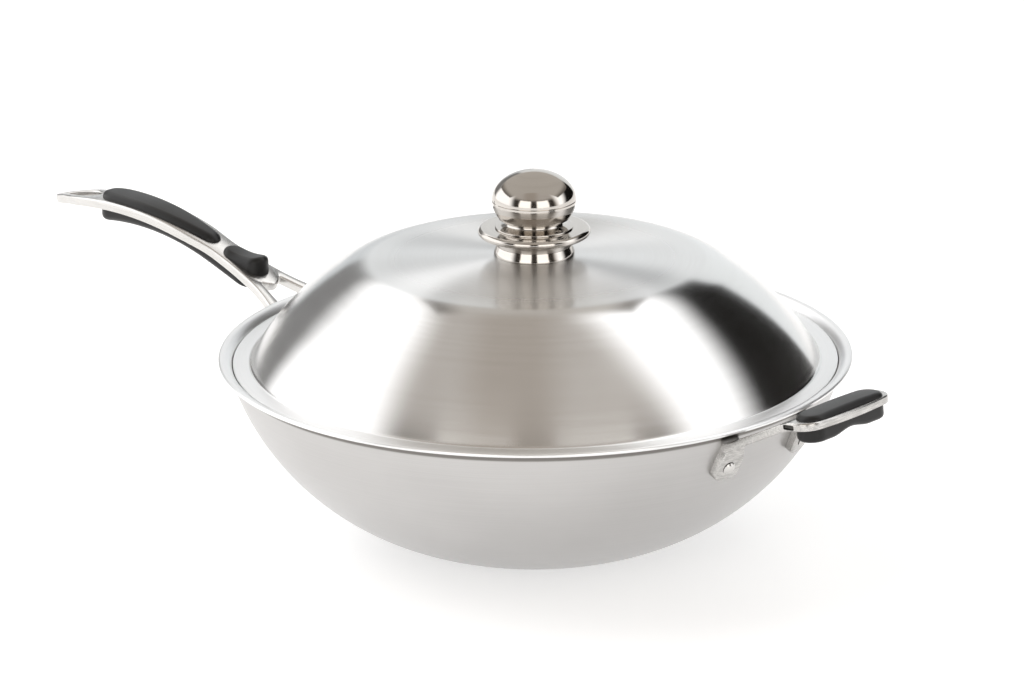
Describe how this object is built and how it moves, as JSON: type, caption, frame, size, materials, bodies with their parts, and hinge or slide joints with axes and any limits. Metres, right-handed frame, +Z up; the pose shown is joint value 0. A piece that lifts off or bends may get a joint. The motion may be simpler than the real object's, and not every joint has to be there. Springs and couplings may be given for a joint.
{
  "type": "lidded wok",
  "caption": "Stainless steel wok with a flared rim, a curved riveted long handle, a looped helper handle with black grips, and a lift-off domed lid with a round knob.",
  "frame": {"origin": "centre of the underside of the flat base", "axes": "+Z up; the long handle points to -X and the helper handle to +X; symmetric about the XZ plane"},
  "size_m": [0.6805, 0.39, 0.2332],
  "materials": {
    "bowl_steel": "satin outside, mirror-polished lip",
    "lid_steel": "mirror-polished spun steel",
    "handle_steel": "satin faces with bright edges",
    "rivet_steel": "polished",
    "knob_steel": "mirror-polished",
    "fastener_steel": "plain",
    "insert_brass": "turned",
    "grip_black": "fine matt grain"
  },
  "bodies": {
    "pan": {"bowl": "bowl_steel", "long_handle_frame": "handle_steel", "helper_handle_frame": "handle_steel", "long_handle_rivets": "rivet_steel", "helper_handle_rivets": "rivet_steel", "long_handle_grip_screws": "fastener_steel", "thumb_rest_screw": "fastener_steel", "helper_pad_screws": "fastener_steel", "long_handle_grip_inserts": "insert_brass", "thumb_rest_insert": "insert_brass", "helper_pad_inserts": "insert_brass", "long_handle_upper_grip": "grip_black", "long_handle_lower_grip": "grip_black", "thumb_rest": "grip_black", "helper_upper_pad": "grip_black", "helper_lower_pad": "grip_black"},
    "lid": {"lid_dome": "lid_steel", "knob_foot": "knob_steel", "knob_collar": "knob_steel", "knob_neck": "knob_steel", "knob_lower_shell": "knob_steel", "knob_upper_shell": "knob_steel", "knob_weld_nut": "fastener_steel", "knob_screw": "fastener_steel", "knob_washer": "fastener_steel", "knob_spring_washer": "fastener_steel"}
  },
  "joints": [
    {"name": "lid_lift", "type": "slide", "parent": "pan", "child": "lid", "axis": [0, 0, 1], "range_m": [0, 0.12]}
  ]
}
